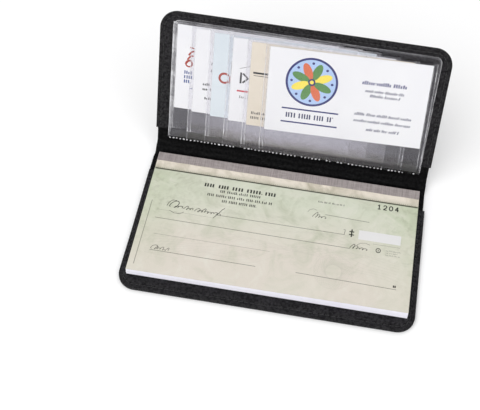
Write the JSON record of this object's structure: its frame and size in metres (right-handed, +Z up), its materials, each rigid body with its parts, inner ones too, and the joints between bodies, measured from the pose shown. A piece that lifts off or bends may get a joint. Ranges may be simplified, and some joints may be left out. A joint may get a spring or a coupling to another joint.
{
  "type": "checkbook cover",
  "caption": "Folding leatherette checkbook cover, standing open, with a check pad in its base pocket and a fan of clear business card sleeves on its lid.",
  "frame": {"origin": "centre of the base panel's outer face", "axes": "+X along the spine, +Y from the base's front edge towards the spine, +Z up"},
  "size_m": [0.161, 0.1316, 0.0808],
  "materials": {
    "leatherette": "fine-grained black leatherette",
    "lining": "smooth matt black lining",
    "board": "grey-brown board",
    "thread": "black twisted thread",
    "check_paper": "safety paper with a pale green marbled print",
    "stub_paper": "cream paper",
    "binding_tape": "grey woven binding tape",
    "wire": "flat steel wire",
    "tab_vinyl": "stiff milky vinyl",
    "clear_vinyl": "clear glossy vinyl film",
    "weld": "whitened heat-welded vinyl",
    "card_white": "white card stock",
    "card_blue": "pale blue-grey card stock",
    "card_beige": "beige card stock"
  },
  "bodies": {
    "base": {"base_shell": "leatherette", "base_board": "board", "base_lining": "lining", "base_pocket": "leatherette", "base_stitching": "thread", "pad_backer": "board", "check_stack": "check_paper", "check_stub": "stub_paper", "binding_tape": "binding_tape", "pad_staples": "wire"},
    "top_check": {"top_check": "check_paper"},
    "spine": {"spine_shell": "leatherette", "spine_lining": "lining"},
    "lid": {"lid_shell": "leatherette", "lid_board": "board", "lid_lining": "lining", "lid_pocket": "leatherette", "lid_stitching": "thread", "insert_tab": "tab_vinyl", "vinyl_backing": "clear_vinyl", "vinyl_edge_weld": "weld", "vinyl_weld_seam": "weld"},
    "sleeve_6": {"sleeve_6": "clear_vinyl"},
    "sleeve_5": {"sleeve_5": "clear_vinyl"},
    "sleeve_4": {"sleeve_4": "clear_vinyl"},
    "sleeve_3": {"sleeve_3": "clear_vinyl"},
    "sleeve_2": {"sleeve_2": "clear_vinyl"},
    "sleeve_1": {"sleeve_1": "clear_vinyl"},
    "card_1": {"card_1": "card_white"},
    "card_2": {"card_2": "card_white"},
    "card_3": {"card_3": "card_blue"},
    "card_4": {"card_4": "card_white"},
    "card_5": {"card_5": "card_beige"},
    "card_6": {"card_6": "card_white"}
  },
  "joints": [
    {"name": "spine_fold", "type": "hinge", "parent": "base", "child": "spine", "pos_m": [0, 0.04515, 0.00032], "axis": [1, 0, 0], "range_deg": [-33.4, 56.6]},
    {"name": "lid_fold", "type": "hinge", "parent": "spine", "child": "lid", "pos_m": [0, 0.05463, 0.00657], "axis": [1, 0, 0], "range_deg": [-33.4, 56.6]},
    {"name": "top_check_turn", "type": "hinge", "parent": "base", "child": "top_check", "pos_m": [0, 0.03285, 0.0068], "axis": [1, 0, 0], "range_deg": [-100, 0]},
    {"name": "sleeve_6_turn", "type": "hinge", "parent": "lid", "child": "sleeve_6", "pos_m": [0, 0.05212, 0.01178], "axis": [-1, 0, 0], "range_deg": [-100, 0]},
    {"name": "sleeve_5_turn", "type": "hinge", "parent": "lid", "child": "sleeve_5", "pos_m": [0, 0.05283, 0.01241], "axis": [-1, 0, 0], "range_deg": [-86, 0]},
    {"name": "sleeve_4_turn", "type": "hinge", "parent": "lid", "child": "sleeve_4", "pos_m": [0, 0.05355, 0.01304], "axis": [-1, 0, 0], "range_deg": [-72, 0]},
    {"name": "sleeve_3_turn", "type": "hinge", "parent": "lid", "child": "sleeve_3", "pos_m": [0, 0.05426, 0.01367], "axis": [-1, 0, 0], "range_deg": [-58, 0]},
    {"name": "sleeve_2_turn", "type": "hinge", "parent": "lid", "child": "sleeve_2", "pos_m": [0, 0.05498, 0.0143], "axis": [-1, 0, 0], "range_deg": [-44, 0]},
    {"name": "sleeve_1_turn", "type": "hinge", "parent": "lid", "child": "sleeve_1", "pos_m": [0, 0.05569, 0.01493], "axis": [-1, 0, 0], "range_deg": [-30, 0]},
    {"name": "card_1_slide", "type": "slide", "parent": "sleeve_1", "child": "card_1", "axis": [0, 0.3939, 0.9191], "range_m": [0, 0.05]},
    {"name": "card_2_slide", "type": "slide", "parent": "sleeve_2", "child": "card_2", "axis": [-0.0035, 0.3939, 0.9191], "range_m": [0, 0.05]},
    {"name": "card_3_slide", "type": "slide", "parent": "sleeve_3", "child": "card_3", "axis": [-0.0105, 0.3939, 0.9191], "range_m": [0, 0.05]},
    {"name": "card_4_slide", "type": "slide", "parent": "sleeve_4", "child": "card_4", "axis": [-0.0087, 0.3939, 0.9191], "range_m": [0, 0.05]},
    {"name": "card_5_slide", "type": "slide", "parent": "sleeve_5", "child": "card_5", "axis": [-0.014, 0.3939, 0.919], "range_m": [0, 0.05]},
    {"name": "card_6_slide", "type": "slide", "parent": "sleeve_6", "child": "card_6", "axis": [-0.0236, 0.3938, 0.9189], "range_m": [0, 0.05]}
  ],
  "couplings": [
    {"joint": "lid_fold", "follows": "spine_fold", "ratio": 1},
    {"joint": "sleeve_5_turn", "follows": "sleeve_6_turn", "ratio": 0.86},
    {"joint": "sleeve_4_turn", "follows": "sleeve_6_turn", "ratio": 0.72},
    {"joint": "sleeve_3_turn", "follows": "sleeve_6_turn", "ratio": 0.58},
    {"joint": "sleeve_2_turn", "follows": "sleeve_6_turn", "ratio": 0.44},
    {"joint": "sleeve_1_turn", "follows": "sleeve_6_turn", "ratio": 0.3}
  ]
}
